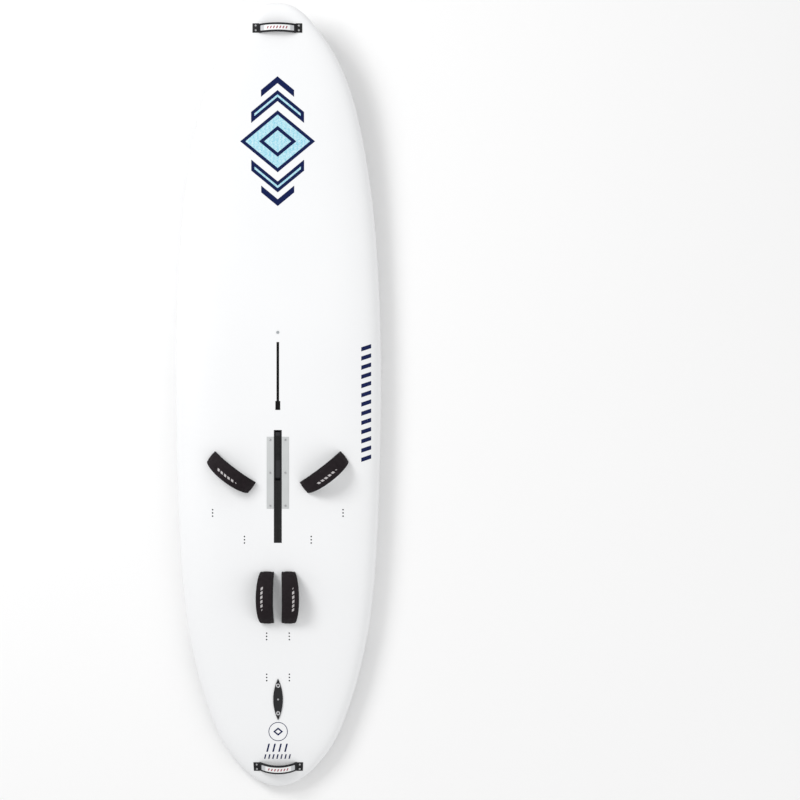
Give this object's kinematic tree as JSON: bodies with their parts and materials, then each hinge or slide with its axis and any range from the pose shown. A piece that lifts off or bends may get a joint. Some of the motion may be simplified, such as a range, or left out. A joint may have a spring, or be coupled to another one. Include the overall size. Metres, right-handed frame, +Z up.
{
  "type": "windsurf board",
  "caption": "Wide round-ended windsurf board with a pivoting centre blade, mast track, fin box, four foot straps, carry handles and a vent plug.",
  "frame": {"origin": "on the middle line, half-way along the board, at the lowest level of the bottom", "axes": "X to starboard, Y towards the nose, Z up from the bottom to the deck"},
  "size_m": [0.7494, 2.85, 0.2405],
  "materials": {
    "hull_laminate": "satin",
    "eps_foam": "matte",
    "dense_foam": "matte",
    "black_plastic": "satin",
    "white_plastic": "satin",
    "grey_plastic": "satin",
    "black_rubber": "matte",
    "stainless": "satin",
    "chrome_bolt": "polished",
    "neoprene": "matte",
    "webbing": "matte",
    "panel_print": "satin"
  },
  "bodies": {
    "hull": {"deck_skin": "hull_laminate", "bottom_skin": "hull_laminate", "foam_core": "eps_foam", "mast_track_block": "dense_foam", "fin_box_block": "dense_foam", "mast_track_box": "black_plastic", "vent_housing": "grey_plastic", "daggerboard_case": "black_plastic", "pivot_rail_left": "white_plastic", "pivot_rail_right": "white_plastic", "pivot_bushes": "grey_plastic", "friction_pads": "black_rubber", "deck_plate_left": "grey_plastic", "deck_plate_right": "grey_plastic", "deck_plate_screws": "stainless", "deck_slot_lip_left": "black_rubber", "deck_slot_lip_right": "black_rubber", "bottom_gasket_frame": "white_plastic", "bottom_gasket_lip_left": "black_rubber", "bottom_gasket_lip_right": "black_rubber", "fin_box": "black_plastic", "fin_bolt_sleeves": "black_plastic", "fin_plate": "black_plastic", "fin_plate_screw": "stainless", "fin_bolt_front": "chrome_bolt", "fin_bolt_rear": "chrome_bolt", "strap_inserts": "black_plastic", "strap_washers": "black_plastic", "strap_screws": "stainless", "handle_screws": "stainless", "handle_plugs": "black_plastic", "strap_webbing_front_left": "webbing", "strap_cover_front_left": "neoprene", "strap_webbing_front_right": "webbing", "strap_cover_front_right": "neoprene", "strap_webbing_rear_left": "webbing", "strap_cover_rear_left": "neoprene", "strap_webbing_rear_right": "webbing", "strap_cover_rear_right": "neoprene", "nose_handle_end_plates": "black_plastic", "nose_handle_sleeve": "webbing", "nose_handle_panel": "panel_print", "tail_handle_end_plates": "black_plastic", "tail_handle_sleeve": "webbing", "tail_handle_panel": "panel_print"},
    "daggerboard": {"daggerboard_blade": "black_plastic", "lever_grip_pad": "black_rubber", "pivot_pin": "stainless"},
    "vent_seal": {"vent_o_ring": "black_rubber"},
    "vent_plug": {"vent_screw": "grey_plastic"}
  },
  "joints": [
    {"name": "daggerboard_pivot", "type": "hinge", "parent": "hull", "child": "daggerboard", "pos_m": [0, -0.255, 0.1], "axis": [1, 0, 0], "range_deg": [0, 90]},
    {"name": "vent_rise", "type": "slide", "parent": "hull", "child": "vent_seal", "axis": [0, 0, 1], "range_m": [0, 0.00375]},
    {"name": "vent_turn", "type": "hinge", "parent": "vent_seal", "child": "vent_plug", "pos_m": [0, 0.232, 0.148], "axis": [0, 0, 1], "range_deg": [0, 1080]}
  ],
  "couplings": [
    {"joint": "vent_turn", "follows": "vent_rise", "rad_per_m": 5026.5}
  ]
}
